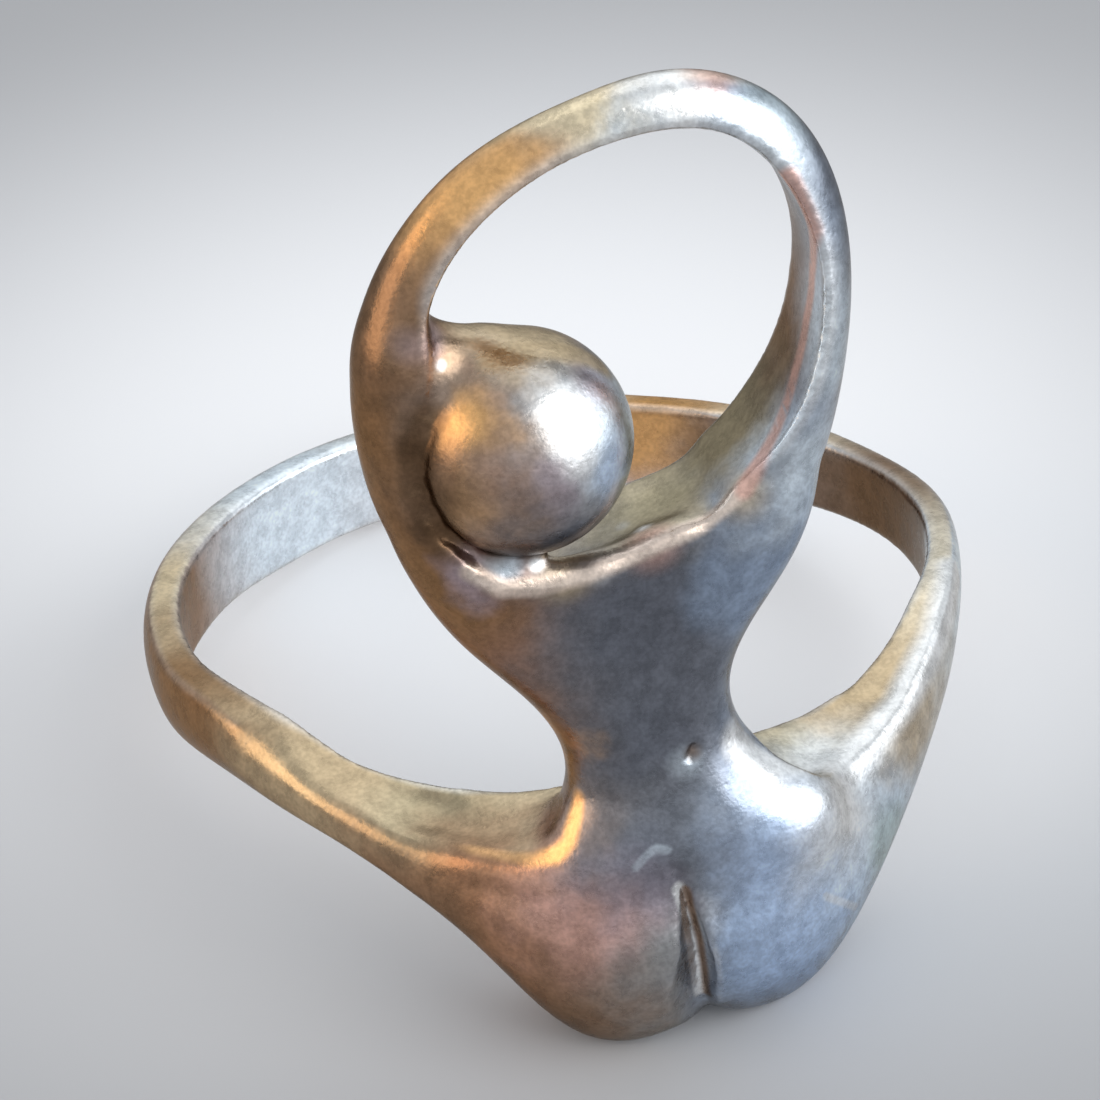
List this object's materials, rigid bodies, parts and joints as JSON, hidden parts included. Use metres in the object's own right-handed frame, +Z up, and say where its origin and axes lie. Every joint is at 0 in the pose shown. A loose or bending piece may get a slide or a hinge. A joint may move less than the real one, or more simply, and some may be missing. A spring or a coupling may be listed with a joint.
{
  "type": "thumb ring",
  "caption": "Cast silver thumb ring whose band swells into the hips of a small abstract figure, seen from behind, with raised arms closed in a loop over a plain ball head.",
  "frame": {"origin": "middle of the ring's bounding box, on the surface that the ring lies on", "axes": "+Z up from the surface that the ring lies on, -Y from the back of the band towards the figure, +X to the right of someone who faces the figure"},
  "size_m": [0.022, 0.0254, 0.0253],
  "materials": {
    "silver": "soft polished cast silver, tarnished, with small pits"
  },
  "bodies": {
    "root": {"figure_ring": "silver"}
  },
  "joints": []
}
